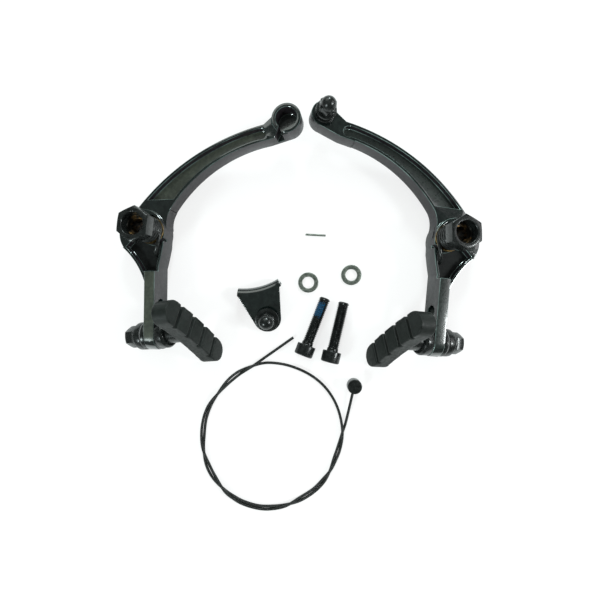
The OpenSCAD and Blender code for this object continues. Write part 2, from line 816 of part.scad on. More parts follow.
left_arm();
right_arm();
left_bushing();
right_bushing();
left_return_spring();
right_return_spring();
left_tension_nut();
right_tension_nut();
left_pad_block();
right_pad_block();
left_pad_stud();
right_pad_stud();
left_pad_nut();
right_pad_nut();
left_pad_washer();
right_pad_washer();
left_outer_cup_washer();
right_outer_cup_washer();
left_outer_dome_washer();
right_outer_dome_washer();
left_inner_dome_washer();
right_inner_dome_washer();
left_inner_cup_washer();
right_inner_cup_washer();
right_anchor_bolt();
right_anchor_washer();
right_clamp_washer();
right_anchor_nut();
hanger_plate();
hanger_bolt();
hanger_washer();
hanger_nut();
mount_bolt_1();
mount_bolt_2();
boss_washer_1();
boss_washer_2();
spring_pin();
straddle_cable();
straddle_barrel();
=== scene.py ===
import math

import bmesh
import bpy
import numpy as np
from mathutils import Matrix, Vector


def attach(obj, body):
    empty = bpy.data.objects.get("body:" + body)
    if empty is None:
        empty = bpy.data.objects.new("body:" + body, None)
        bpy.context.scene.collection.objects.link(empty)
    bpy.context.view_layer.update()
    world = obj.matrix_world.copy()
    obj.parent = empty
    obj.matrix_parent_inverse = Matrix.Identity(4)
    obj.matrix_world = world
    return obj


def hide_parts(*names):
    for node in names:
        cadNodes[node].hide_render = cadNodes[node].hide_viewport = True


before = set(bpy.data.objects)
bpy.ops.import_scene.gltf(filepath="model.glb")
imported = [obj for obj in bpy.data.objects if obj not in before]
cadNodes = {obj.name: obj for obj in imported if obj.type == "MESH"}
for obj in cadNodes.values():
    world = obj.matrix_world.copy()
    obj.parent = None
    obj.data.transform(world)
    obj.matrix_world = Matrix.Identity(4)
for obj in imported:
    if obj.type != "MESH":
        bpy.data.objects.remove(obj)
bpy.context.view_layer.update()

sides = ("left", "right")
print("stage: frame loaded,", len(cadNodes), "nodes")


# Camera: straight down over the middle of the photograph

cameraSettings = {"at": (0, -0.032, 0.235), "lens": 25.803, "sensor": 36.0}
cameraData = bpy.data.cameras.new("camera")
cameraData.lens = cameraSettings["lens"]
cameraData.sensor_width = cameraSettings["sensor"]
cameraData.clip_start = 0.01
cameraData.clip_end = 50
camera = bpy.data.objects.new("camera", cameraData)
camera.location = cameraSettings["at"]
bpy.context.collection.objects.link(camera)
bpy.context.scene.camera = camera


# Where each group lies: millimetres in its own frame to metres in the part frame

def place(at, *turns, mirrored=False):
    result = Matrix.Translation(Vector(at) * 0.001)
    for axis, angle in turns:
        result = result @ Matrix.Rotation(math.radians(angle), 4, axis)
    if mirrored:
        result = result @ Matrix.Scale(-1, 4, (1, 0, 0))
    return result @ Matrix.Scale(0.001, 4)


armPlace = {
    "left": place((-74.6, 3.3, 3.55), ("Y", -8.5), ("X", -1.5)),
    "right": place((74.1, -0.7, 3.55), ("Y", 8.5), ("X", -1.5), ("Z", -6), mirrored=True),
}


def inArm(side, at, *turns):
    inner = Matrix.Translation(Vector(at))
    for axis, angle in turns:
        inner = inner @ Matrix.Rotation(math.radians(angle), 4, axis)
    return armPlace[side] @ inner


studYaw = {"left": 6, "right": -1}
padTurn = {"left": 33, "right": 29}
ballAt = (1.2, -53.5, 7.5)  # the middle of the ball washers, in the arm's frame
studPitch = 76  # from straight up to nearly level
studPlace = {side: inArm(side, ballAt, ("Z", studYaw[side]), ("Y", studPitch)) for side in sides}
padPlace = {
    side: inArm(side, ballAt, ("Z", studYaw[side]), ("Y", studPitch), ("Z", -padTurn[side]))
    for side in sides
}
hangerPlace = place((-17.5, -41.5, 2.886), ("X", 11.5))
anchorAt = (69.7, 54.8, 0)  # the cable anchor, in the arm's frame


# Materials

def shaderOf(material):
    return material.node_tree.nodes["Principled BSDF"]


def newMaterial(name, base, rough, metallic=0.0, coat=0.0, coatRough=0.1, specular=0.5):
    material = bpy.data.materials.new(name)
    material.use_nodes = True
    shader = shaderOf(material)
    shader.inputs["Base Color"].default_value = (*base, 1)
    shader.inputs["Roughness"].default_value = rough
    shader.inputs["Metallic"].default_value = metallic
    shader.inputs["Coat Weight"].default_value = coat
    shader.inputs["Coat Roughness"].default_value = coatRough
    shader.inputs["Specular IOR Level"].default_value = specular
    return material


# owner is a material or the world
def addNode(owner, kind, **inputs):
    made = owner.node_tree.nodes.new(kind)
    for key, value in inputs.items():
        made.inputs[key].default_value = value
    return made


def link(owner, source, target):
    owner.node_tree.links.new(source, target)


def objectNoise(material, scale, detail=4.0, rough=0.55):
    coords = addNode(material, "ShaderNodeTexCoord")
    made = addNode(material, "ShaderNodeTexNoise", Scale=scale, Detail=detail, Roughness=rough)
    link(material, coords.outputs["Object"], made.inputs["Vector"])
    return made.outputs["Fac"]


def varyColour(material, source, dark, light, low=0.35, high=0.7):
    ramp = addNode(material, "ShaderNodeValToRGB")
    ramp.color_ramp.elements[0].position = low
    ramp.color_ramp.elements[0].color = (*dark, 1)
    ramp.color_ramp.elements[1].position = high
    ramp.color_ramp.elements[1].color = (*light, 1)
    link(material, source, ramp.inputs["Fac"])
    link(material, ramp.outputs["Color"], shaderOf(material).inputs["Base Color"])


# a noise hardly leaves the middle of its range, so that part is spread over low to high
def varyRough(material, source, low, high, noiseLow=0.3, noiseHigh=0.7):
    spread = addNode(material, "ShaderNodeMapRange")
    spread.inputs["From Min"].default_value = noiseLow
    spread.inputs["From Max"].default_value = noiseHigh
    spread.inputs["To Min"].default_value = low
    spread.inputs["To Max"].default_value = high
    link(material, source, spread.inputs["Value"])
    link(material, spread.outputs["Result"], shaderOf(material).inputs["Roughness"])


def addBump(material, source, strength, distance):
    bump = addNode(material, "ShaderNodeBump", Strength=strength, Distance=distance)
    link(material, source, bump.inputs["Height"])
    link(material, bump.outputs["Normal"], shaderOf(material).inputs["Normal"])


# gloss black paint over a forged surface: soft waves and fine specks
paint = newMaterial("arm_paint", (0.006, 0.008, 0.008), 0.2, coat=1.0, coatRough=0.06)
varyColour(paint, objectNoise(paint, 420, 3), (0.002, 0.004, 0.004), (0.007, 0.011, 0.010))
varyRough(paint, objectNoise(paint, 900, 5), 0.10, 0.22)
addBump(paint, objectNoise(paint, 260, 2), 0.25, 0.0001)

# painted reflection: the same paint on the broad flat faces, lightened grey-green as if mirroring the
# lamp
faceReflectionPaint = newMaterial("painted_reflection_on_faces", (0.03, 0.036, 0.028), 0.45, coat=0.3, coatRough=0.25)
varyColour(faceReflectionPaint, objectNoise(faceReflectionPaint, 500, 5, 0.65),
           (0.020, 0.025, 0.018), (0.046, 0.055, 0.038))
varyRough(faceReflectionPaint, objectNoise(faceReflectionPaint, 1100, 5), 0.34, 0.55)
addBump(faceReflectionPaint, objectNoise(faceReflectionPaint, 700, 3), 0.3, 0.0001)

# the right arm's faces: a darker copy with more gloss, painted shade in place of that reflection
dimFaceReflectionPaint = newMaterial("dim_painted_reflection_on_faces", (0.012, 0.016, 0.014), 0.3, coat=0.6, coatRough=0.12)
varyColour(dimFaceReflectionPaint, objectNoise(dimFaceReflectionPaint, 500, 5, 0.65),
           (0.007, 0.011, 0.010), (0.017, 0.025, 0.021))
varyRough(dimFaceReflectionPaint, objectNoise(dimFaceReflectionPaint, 1100, 5), 0.24, 0.4)
addBump(dimFaceReflectionPaint, objectNoise(dimFaceReflectionPaint, 700, 3), 0.25, 0.0001)
# the left arm's flat faces take the painted reflection, the right arm's the darker copy
flatReflectionPaint = {"left": faceReflectionPaint, "right": dimFaceReflectionPaint}

# painted highlight: a pale paint on the rounded upper edges, brighter on the right arm
rimHighlightPaint = {}
for side, dark, light in (("left", (0.008, 0.012, 0.012), (0.11, 0.16, 0.15)),
                          ("right", (0.02, 0.03, 0.028), (0.24, 0.33, 0.31))):
    rim = newMaterial(side + "_painted_highlight_on_rims", light, 0.22, metallic=0.3, coat=1.0, coatRough=0.08)
    varyColour(rim, objectNoise(rim, 90, 3), dark, light, 0.36, 0.62)
    varyRough(rim, objectNoise(rim, 900, 4), 0.14, 0.28)
    rimHighlightPaint[side] = rim

# painted light on the side walls: a duller copy of the paint with a purple cast, for how the walls
# catch the light
wallLightPaint = newMaterial("painted_light_on_walls", (0.014, 0.012, 0.014), 0.4, coat=0.2, coatRough=0.2,
                        specular=0.4)
varyColour(wallLightPaint, objectNoise(wallLightPaint, 450, 5, 0.6),
           (0.008, 0.007, 0.009), (0.024, 0.019, 0.022))
varyRough(wallLightPaint, objectNoise(wallLightPaint, 900, 5), 0.32, 0.5)
addBump(wallLightPaint, objectNoise(wallLightPaint, 800, 3), 0.3, 0.0001)

# black oxide on turned steel
steel = newMaterial("black_steel", (0.018, 0.019, 0.020), 0.38, metallic=0.35, specular=0.6)
varyColour(steel, objectNoise(steel, 600, 5), (0.004, 0.005, 0.005), (0.018, 0.021, 0.020))
varyRough(steel, objectNoise(steel, 1400, 4), 0.18, 0.36)
addBump(steel, objectNoise(steel, 2500, 3), 0.25, 0.00004)

# black spring wire, smoother and brighter
springSteel = newMaterial("spring_black", (0.02, 0.021, 0.022), 0.3, metallic=0.5)
varyColour(springSteel, objectNoise(springSteel, 900, 4), (0.006, 0.007, 0.007), (0.03, 0.033, 0.032))
varyRough(springSteel, objectNoise(springSteel, 1500, 3), 0.2, 0.4)

# painted shade in the pockets: a darker, dull copy of the paint
pocketShadePaint = newMaterial("painted_shade_in_pockets", (0.003, 0.004, 0.004), 0.7, specular=0.25)
varyColour(pocketShadePaint, objectNoise(pocketShadePaint, 800, 5), (0.002, 0.003, 0.003), (0.008, 0.010, 0.009))
addBump(pocketShadePaint, objectNoise(pocketShadePaint, 900, 3), 0.4, 0.0001)

# turned brass, dull with darker stains
brass = newMaterial("brass", (0.42, 0.27, 0.09), 0.32, metallic=0.95)
varyColour(brass, objectNoise(brass, 500, 5), (0.07, 0.045, 0.018), (0.32, 0.21, 0.08))
varyRough(brass, objectNoise(brass, 1600, 3), 0.22, 0.45)

# painted shade on the brass down in the nuts' recesses: mostly near black, with brown brass showing in
# patches
shadedRecessBrass = newMaterial("brass_with_painted_shade", (0.16, 0.09, 0.03), 0.4, metallic=0.8)
varyColour(shadedRecessBrass, objectNoise(shadedRecessBrass, 380, 4),
           (0.008, 0.007, 0.005), (0.15, 0.085, 0.028), 0.5, 0.66)

# moulded rubber: matte and almost black, with a fine grain
rubber = newMaterial("pad_rubber", (0.008, 0.010, 0.009), 0.55, specular=0.3)
varyColour(rubber, objectNoise(rubber, 350, 6, 0.65), (0.001, 0.003, 0.002), (0.007, 0.011, 0.009))
varyRough(rubber, objectNoise(rubber, 700, 4), 0.42, 0.66)
addBump(rubber, objectNoise(rubber, 1800, 5), 0.35, 0.0001)

# dull zinc plate, greenish grey
zinc = newMaterial("zinc", (0.36, 0.38, 0.34), 0.42, metallic=0.85)
varyColour(zinc, objectNoise(zinc, 700, 6, 0.65), (0.09, 0.105, 0.09), (0.30, 0.33, 0.29))
varyRough(zinc, objectNoise(zinc, 1600, 4), 0.32, 0.55)
addBump(zinc, objectNoise(zinc, 2200, 3), 0.3, 0.00005)

# coated strands: the lay of the strands follows the tube's own map
cableCoat = newMaterial("cable_black", (0.010, 0.011, 0.010), 0.42, specular=0.3)
cableMap = addNode(cableCoat, "ShaderNodeTexCoord")
cableTwist = addNode(cableCoat, "ShaderNodeMapping")
cableTwist.inputs["Rotation"].default_value = (0, 0, math.radians(38))
link(cableCoat, cableMap.outputs["UV"], cableTwist.inputs["Vector"])
cableWave = addNode(cableCoat, "ShaderNodeTexWave", Scale=3.2, Distortion=0.3)
link(cableCoat, cableTwist.outputs["Vector"], cableWave.inputs["Vector"])
varyColour(cableCoat, cableWave.outputs["Fac"],
           (0.003, 0.004, 0.004), (0.016, 0.018, 0.016), 0.1, 0.9)
addBump(cableCoat, cableWave.outputs["Fac"], 0.5, 0.00008)

# blue thread lock, rubbed thin along the crests
threadLock = newMaterial("thread_lock", (0.02, 0.08, 0.16), 0.5)
varyColour(threadLock, objectNoise(threadLock, 1500, 6, 0.7),
           (0.001, 0.016, 0.036), (0.0, 0.095, 0.22), 0.4, 0.66)
addBump(threadLock, objectNoise(threadLock, 3000, 3), 0.4, 0.00008)
print("stage: materials")


# Turned pieces: half a section, spun round the Z axis, with its edges broken by a small bevel.
# Each entry in hexes pushes a round wall out to a hexagon: its flats' reach, its two ends and how
# far its corners are cut back at the ends. A section that starts and ends on the axis isn't joined.

turnedSettings = {"merge": 0.0005, "sameWall": 0.005, "sharp": 33, "segments": 2}


def turned(section, edge=0.0, count=96, hexes=(), joined=True):
    s = turnedSettings
    sixth = math.pi / 3
    bm = bmesh.new()
    corners = [bm.verts.new((radius, 0, z)) for radius, z in section]
    pairs = list(zip(corners, corners[1:]))
    if joined:
        pairs.append((corners[-1], corners[0]))
    outline = [bm.edges.new(pair) for pair in pairs]
    bmesh.ops.spin(bm, geom=corners + outline, cent=(0, 0, 0), axis=(0, 0, 1), dvec=(0, 0, 0),
                   angle=2 * math.pi, steps=count, use_merge=True)
    bmesh.ops.remove_doubles(bm, verts=bm.verts, dist=s["merge"])
    bmesh.ops.recalc_face_normals(bm, faces=bm.faces)
    for flat, low, high, chamfer in hexes:
        for v in bm.verts:
            onWall = abs(v.co.xy.length - flat) < s["sameWall"]
            if onWall and low - s["sameWall"] < v.co.z < high + s["sameWall"]:
                across = (math.atan2(v.co.y, v.co.x) + sixth / 2) % sixth - sixth / 2
                reach = flat / math.cos(across)
                v.co.xy = v.co.xy * reach / flat
                v.co.z += chamfer * (reach - flat) * (1 if v.co.z < (low + high) / 2 else -1)
    if edge:
        bmesh.ops.bevel(bm, geom=sharpEdges(bm, s["sharp"]), offset=edge, offset_type="OFFSET",
                        affect="EDGES", segments=s["segments"], profile=0.5, material=-1,
                        clamp_overlap=True)
    return bm


def sharpEdges(bm, degrees):
    limit = math.radians(degrees)
    return [e for e in bm.edges if e.is_manifold and e.calc_face_angle(0) > limit]


def addPiece(name, bm, at, body, material, replaced=(), extra=(), sharp=28):
    mesh = bpy.data.meshes.new(name)
    bm.to_mesh(mesh)
    bm.free()
    return addMesh(name, mesh, at, body, material, replaced, extra, sharp)


# puts a finished mesh in its place in the part, on its body, and lets it stand for CAD nodes
def addMesh(name, mesh, at, body, material, replaced=(), extra=(), sharp=28):
    mesh.transform(at)
    if at.determinant() < 0:
        mesh.flip_normals()
    if len(mesh.materials):
        mesh.materials.clear()
    for m in (material, *extra):
        mesh.materials.append(m)
    mesh.shade_smooth()
    if sharp:
        mesh.set_sharp_from_angle(angle=math.radians(sharp))
    made = bpy.data.objects.new(name, mesh)
    bpy.context.collection.objects.link(made)
    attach(made, body)
    if replaced:
        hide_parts(*replaced)
    return made


# A moulded or pressed solid: its CAD shape, remade as an even grid and smoothed

def softened(node, at, voxel, passes):
    mesh = cadNodes[node].data.copy()
    mesh.transform(at.inverted())
    if at.determinant() < 0:
        mesh.flip_normals()
    bm = bmesh.new()
    bm.from_mesh(mesh)
    bmesh.ops.remove_doubles(bm, verts=bm.verts, dist=0.001)
    bm.to_mesh(mesh)
    bm.free()
    source = bpy.data.objects.new(node + "_source", mesh)
    bpy.context.collection.objects.link(source)
    remesh = source.modifiers.new("remesh", "REMESH")
    remesh.mode = "VOXEL"
    remesh.voxel_size = voxel
    smooth = source.modifiers.new("smooth", "SMOOTH")
    smooth.factor = 0.5
    smooth.iterations = passes
    graph = bpy.context.evaluated_depsgraph_get()
    result = bpy.data.meshes.new_from_object(source.evaluated_get(graph))
    bpy.data.objects.remove(source)
    return result


# A forged solid: its CAD shape with its sharp edges rounded over. The faces of the rounding that
# look up take the material slot for the painted highlight, a pale paint in place of edge glints.

def edgeRounded(node, at, s):
    bm = bmesh.new()
    bm.from_mesh(cadNodes[node].data)
    bmesh.ops.transform(bm, matrix=at.inverted(), verts=bm.verts)
    bmesh.ops.remove_doubles(bm, verts=bm.verts, dist=s["merge"])
    bmesh.ops.recalc_face_normals(bm, faces=bm.faces)
    bmesh.ops.dissolve_limit(bm, angle_limit=math.radians(s["flatWithin"]), verts=bm.verts,
                             edges=bm.edges)
    made = bmesh.ops.bevel(bm, geom=sharpEdges(bm, s["sharp"]), offset=s["edge"],
                           offset_type="OFFSET", affect="EDGES", segments=s["steps"], profile=0.5,
                           material=-1, clamp_overlap=False)
    highlightLow, highlightHigh = s["highlighted"]
    # upward-facing faces of the rounding get the painted highlight
    for face in made["faces"]:
        highlighted = highlightLow < face.normal.z < highlightHigh
        face.material_index = armSlots["rim"] if highlighted else armSlots["gloss"]
    bmesh.ops.triangulate(bm, faces=[f for f in bm.faces if len(f.verts) > 4])
    mesh = bpy.data.meshes.new(node + "_rounded")
    bm.to_mesh(mesh)
    bm.free()
    return mesh


# Cable: the same points as the part's source, in metres. A loop point also says how far its turn
# keeps to its own side of the line between the two turns: 1 and -1 are beside it, 0 is a crossing.

cableSettings = {"radius": 0.00075, "turnGap": 0.0008, "lift": 0.00006, "sides": 12}
cableRadius = cableSettings["radius"]
crossRise = 2 * cableRadius + cableSettings["lift"]
setCentre = (0.0, 0.032)
loopMiddle = np.array((-0.015, -0.074))
loopPoints = [
    (0.023, -0.0724, 0), (0.021, -0.0812, 1), (0.0188, -0.087, 0.8), (0.0166, -0.092, 0),
    (0.0131, -0.0978, -0.9), (0.0078, -0.1034, -1), (0, -0.1084, -1), (-0.0076, -0.1114, 0),
    (-0.0153, -0.113, 1), (-0.023, -0.1127, 1), (-0.031, -0.1103, 1), (-0.036, -0.1074, 0.7),
    (-0.0408, -0.1035, 0), (-0.0466, -0.0967, -1), (-0.0504, -0.0893, -1), (-0.0524, -0.0812, 0),
    (-0.0529, -0.074, 1), (-0.052, -0.0654, 1), (-0.0493, -0.0577, 0.8), (-0.0449, -0.0512, 0),
    (-0.0392, -0.0446, -1), (-0.033, -0.0396, -1), (-0.026, -0.036, 0),
]
leadIn = [
    (0.0286, -0.0493, 0.003), (0.0274, -0.055, 0.0024), (0.0262, -0.061, 0.0012),
    (0.0248, -0.067, cableRadius),
]
topArc = [
    (-0.0207, -0.0345), (-0.0153, -0.0342), (-0.0076, -0.0353), (0, -0.0379), (0.0072, -0.0418),
    (0.0136, -0.0474), (0.0186, -0.0546), (0.0218, -0.063),
]
leadOut = [(-0.0191, -0.0313), (-0.011, -0.0256), (-0.0036, -0.0204)]


def turnPoints(sign, rise):
    result = []
    for x, y, across in loopPoints:
        flat = np.array((x, y))
        inward = (loopMiddle - flat) / np.linalg.norm(loopMiddle - flat)
        moved = flat + sign * across * cableSettings["turnGap"] * inward
        result.append((moved[0], moved[1], cableRadius + rise * (1 - abs(across))))
    return result


def lowPoints(points):
    return [(x, y, cableRadius) for x, y in points]


# puts a point in the middle of each stretch, on a smooth curve through the four around it
def halved(points):
    result = []
    last = len(points) - 1
    for i in range(last):
        a, b = points[max(i - 1, 0)], points[i]
        c, d = points[i + 1], points[min(i + 2, last)]
        result += [b, (9 * (b + c) - a - d) / 16]
    result = np.array(result + [points[-1]])
    result[:, 2] = np.maximum(result[:, 2], cableRadius)
    return result


# a round tube with closed ends along a path, count faces round
def tube(path, radius, count):
    bm = bmesh.new()
    last = len(path) - 1
    before = None
    for i, p in enumerate(path):
        along = path[min(i + 1, last)] - path[max(i - 1, 0)]
        along = along / np.linalg.norm(along)
        across = np.cross(along, (0, 0, 1))
        across /= np.linalg.norm(across)
        up = np.cross(across, along)
        angle = 2 * np.pi * (np.arange(count) + 0.5) / count
        points = p + radius * (np.outer(np.cos(angle), across) + np.outer(np.sin(angle), up))
        row = [bm.verts.new(q) for q in points]
        if before:
            for k in range(count):
                m = (k + 1) % count
                bm.faces.new((before[k], before[m], row[m], row[k]))
        else:
            bm.faces.new(row[::-1])
        before = row
    bm.faces.new(before)
    bmesh.ops.recalc_face_normals(bm, faces=bm.faces)
    return bm


# the tube's own map: millimetres along it, and two units round it
def mapTube(mesh, path, count):
    steps = np.r_[0, np.cumsum(np.linalg.norm(np.diff(path, axis=0), axis=1))]
    layer = mesh.uv_layers.new(name="tube")
    for face in mesh.polygons:
        if len(face.vertices) != 4:
            continue
        columns = [v % count for v in face.vertices]
        wrap = max(columns) - min(columns) > 1
        for index, vertex, column in zip(face.loop_indices, face.vertices, columns):
            turn = (column + (count if wrap and column == 0 else 0)) / count
            layer.data[index].uv = (steps[vertex // count] * 1000, turn * 2)


handDrawn = leadIn + turnPoints(1, 0) + lowPoints(topArc)
handDrawn += turnPoints(-1, crossRise) + lowPoints(leadOut)
route = halved(halved(np.array(handDrawn) - np.array((*setCentre, 0))))
cableBody = tube(route, cableRadius, cableSettings["sides"])
cableMesh = bpy.data.meshes.new("cable_strand")
cableBody.to_mesh(cableMesh)
cableBody.free()
mapTube(cableMesh, route, cableSettings["sides"])
cable = addMesh("cable_strand", cableMesh, Matrix.Identity(4), "root", cableCoat,
                ["straddle_cable"], sharp=50)

barrelSettings = {"at": (29.3, -78.4, 0), "radius": 3.9, "height": 6.0, "edge": 0.45}
s = barrelSettings
section = [(0, 0), (s["radius"], 0), (s["radius"], s["height"]), (0, s["height"])]
barrel = addPiece("cable_barrel", turned(section, s["edge"], 64, joined=False), place(s["at"]),
                  "root", steel, ["straddle_barrel"])


# Arms, pads and the hanger

armSettings = {
    "edge": 0.38, "steps": 4, "sharp": 28, "merge": 0.03, "flatWithin": 0.6, "highlighted": (0.3, 0.97),
    "pocket": ((-17.5, 6.2), (-22, 12.5), (6.4, 8.4)), "channelFloor": (4.9, 6.3), "barTop": 13.5,
    "wallTop": 14, "facing": {"pocket": 0.5, "channel": 0.9, "bar": 0.93, "wall": 0.35},
}
# slots: 1 painted shade in the pocket, 2 painted reflection on flat faces, 3 painted light on walls, 4
# painted highlight on rims
armSlots = {"gloss": 0, "pocket": 1, "flat": 2, "wall": 3, "rim": 4}
padSettings = {"voxel": 0.34, "passes": 13}
hangerSettings = {"voxel": 0.24, "passes": 5}


# the pocket below the hub gets painted shade, the lever's channel and the bar's top a painted
# reflection, and the side walls painted light of their own
def paintFaces(mesh, s):
    (xLow, xHigh), (yLow, yHigh), (zLow, zHigh) = s["pocket"]
    floorLow, floorHigh = s["channelFloor"]
    facing = s["facing"]  # how far up a face looks, or for a wall how little
    for face in mesh.polygons:
        if face.material_index == armSlots["rim"]:
            continue
        x, y, z = face.center
        up = face.normal.z
        inPocket = xLow < x < xHigh and yLow < y < yHigh and zLow < z < zHigh
        inChannel = y > yHigh and floorLow < z < floorHigh and up > facing["channel"]
        onBar = y < yLow and z > s["barTop"] and up > facing["bar"]
        onWall = abs(up) < facing["wall"] and z < s["wallTop"]
        if inPocket and up > facing["pocket"]:
            face.material_index = armSlots["pocket"]
        elif inChannel or onBar:
            face.material_index = armSlots["flat"]
        elif onWall:
            face.material_index = armSlots["wall"]


for side in sides:
    armMesh = edgeRounded(side + "_arm", armPlace[side], armSettings)
    paintFaces(armMesh, armSettings)
    addMesh(side + "_forged_arm", armMesh, armPlace[side], side + "_arm", paint,
            [side + "_arm"], extra=[pocketShadePaint, flatReflectionPaint[side], wallLightPaint, rimHighlightPaint[side]],
            sharp=17)
    s = padSettings
    padMesh = softened(side + "_pad_block", padPlace[side], s["voxel"], s["passes"])
    addMesh(side + "_moulded_pad", padMesh, padPlace[side], side + "_pad", rubber,
            [side + "_pad_block"], sharp=0)
s = hangerSettings
hangerMesh = softened("hanger_plate", hangerPlace, s["voxel"], s["passes"])
addMesh("hanger_pressing", hangerMesh, hangerPlace, "root", paint, ["hanger_plate"],
        sharp=0)
print("stage: arms, pads and hanger")


# Pivot stack

tensionSettings = {
    "base": 23.1, "height": 7.0, "flat": 7.5, "recess": 5.4, "floor": 24.5, "hole": 3.25,
    "sleeve": 4.4, "foot": 9.5, "turn": -7, "footBevel": (0.5, 0.25), "topBevel": (0.3, 0.1),
    "lip": (0.25, 0.3), "floorFillet": 0.5, "holeBevel": 0.4, "cornerCut": 0.3,
}
springSettings = {"mean": 5.9, "wire": 0.9, "start": 13.3, "height": 8.8, "turns": 4, "perTurn": 40}
# from the leg's end on the pocket's floor up to the coil's start
springLeg = [(2.2, -13, 8.6), (2.4, -12.4, 10), (3, -11, 12), (4.2, -8, 13), (5.4, -3.6, 13.3)]
for side in sides:
    s = tensionSettings
    top = s["base"] + s["height"]
    footIn, footUp = s["footBevel"]
    topIn, topDown = s["topBevel"]
    lipOut, lipDown = s["lip"]
    fillet = s["floorFillet"]
    bevel = s["holeBevel"]
    section = [
        (s["sleeve"], s["foot"]), (s["sleeve"], s["base"]), (s["flat"] - footIn, s["base"]),
        (s["flat"], s["base"] + footUp), (s["flat"], top - topDown), (s["flat"] - topIn, top),
        (s["recess"] + lipOut, top), (s["recess"], top - lipDown),
        (s["recess"], s["floor"] + fillet), (s["recess"] - fillet, s["floor"]),
        (s["hole"] + bevel, s["floor"]), (s["hole"], s["floor"] - bevel), (s["hole"], s["foot"]),
    ]
    hexagon = (s["flat"], s["base"] + footUp, top - topDown, s["cornerCut"])
    nut = turned(section, 0.1, 120, [hexagon])
    # slot 1 is the brass darkened with painted shade
    for face in nut.faces:  # the recess's floor and the hole are brass
        centre = face.calc_center_median()
        if centre.xy.length < s["recess"] - 0.1 and centre.z < s["floor"] + 0.3:
            face.material_index = 1
    addPiece(side + "_tension_hex", nut, inArm(side, (0, 0, 0), ("Z", s["turn"])), side + "_nut",
             steel, [side + "_tension_nut"], extra=[shadedRecessBrass])
    s = springSettings
    turns = np.arange(s["turns"] * s["perTurn"] + 1) / s["perTurn"]
    angle = 2 * np.pi * turns
    coil = np.stack([s["mean"] * np.cos(angle), s["mean"] * np.sin(angle),
                     s["start"] + s["height"] * turns / s["turns"]], 1)
    path = np.concatenate([np.array(springLeg), coil])
    addPiece(side + "_spring_coil", tube(path, s["wire"], 14), inArm(side, (0, 0, 0)),
             "root", springSteel, [side + "_return_spring"], sharp=60)
print("stage: pivot stacks")


# Pad fittings: nut, flat washer, cupped and domed washers

def ringSection(hole, radius, thick):
    return [(hole, 0), (radius, 0), (radius, thick), (hole, thick)]


def arcProfile(radius, start, end, steps=8):
    angles = np.radians(np.linspace(start, end, steps))
    return [(radius * math.cos(a), radius * math.sin(a)) for a in angles]


nutSettings = {
    "flat": 5.0, "hole": 3.05, "height": 5.0, "back": 15.85, "bevel": (0.3, 0.15), "holeBevel": 0.4,
    "cornerCut": 0.5,
}
padWasherSettings = {"radius": 5.9, "hole": 3.05, "thick": 1.2, "back": 10.85}
cupSettings = {
    "radius": 7.2, "ball": 8.72, "foot": 3.3, "flat": 9.6, "hole": 3.05, "lip": 0.15, "rimUp": 1.6,
    "slope": (0.9, 1.2),
}
domeSettings = {"radius": 7.2, "ball": 8.6, "foot": 2.85, "hole": 5.5}
for side in sides:
    s = nutSettings
    top = s["height"]
    bevelIn, bevelUp = s["bevel"]
    bevel = s["holeBevel"]
    section = [
        (s["hole"], bevel), (s["hole"] + bevel, 0), (s["flat"] - bevelIn, 0), (s["flat"], bevelUp),
        (s["flat"], top - bevelUp), (s["flat"] - bevelIn, top), (s["hole"] + bevel, top),
        (s["hole"], top - bevel),
    ]
    nut = turned(section, 0.08, 96, [(s["flat"], bevelUp, top - bevelUp, s["cornerCut"])])
    addPiece(side + "_pad_hex", nut, studPlace[side] @ Matrix.Translation((0, 0, -s["back"])),
             side + "_pad", steel, [side + "_pad_nut"])
    s = padWasherSettings
    addPiece(side + "_pad_flat_ring", turned(ringSection(s["hole"], s["radius"], s["thick"]), 0.18),
             studPlace[side] @ Matrix.Translation((0, 0, -s["back"])), side + "_pad", steel,
             [side + "_pad_washer"])
    s = cupSettings
    slopeIn, slopeDown = s["slope"]
    rim = math.degrees(math.acos((s["radius"] - s["lip"]) / s["ball"]))
    crown = math.degrees(math.acos(s["hole"] / s["ball"]))
    cup = arcProfile(s["ball"], crown, rim) + [
        (s["radius"], s["foot"] + s["rimUp"]), (s["radius"], s["flat"] - slopeDown),
        (s["radius"] - slopeIn, s["flat"]), (s["hole"], s["flat"]),
    ]
    s = domeSettings
    edge = math.degrees(math.acos(s["radius"] / s["ball"]))
    crown = math.degrees(math.acos(s["hole"] / s["ball"]))
    dome = [(s["hole"], s["foot"]), (s["radius"], s["foot"])] + arcProfile(s["ball"], edge, crown)
    # the outer pair lies the other way round, on the bar's far face
    for which, flip, turn in (("inner", 0, 90), ("outer", 180, -90)):
        cupAt = studPlace[side] @ Matrix.Rotation(math.radians(flip), 4, "X")
        addPiece(side + "_" + which + "_cup", turned(cup, 0.15), cupAt,
                 side + "_pad_socket", steel, [side + "_" + which + "_cup_washer"])
        addPiece(side + "_" + which + "_dome", turned(dome, 0.12),
                 inArm(side, ballAt, ("Y", turn)), side + "_pad_slider", steel,
                 [side + "_" + which + "_dome_washer"])
print("stage: pad fittings")


# Anchor nuts and washers, on the right arm and on the hanger

anchorSettings = {
    "flat": 4.0, "hex": 4.6, "dome": 3.9, "washer": 1.2, "gap": 2.4, "hole": 2.55,
    "bevel": (0.25, 0.15), "cornerCut": 0.5,
}
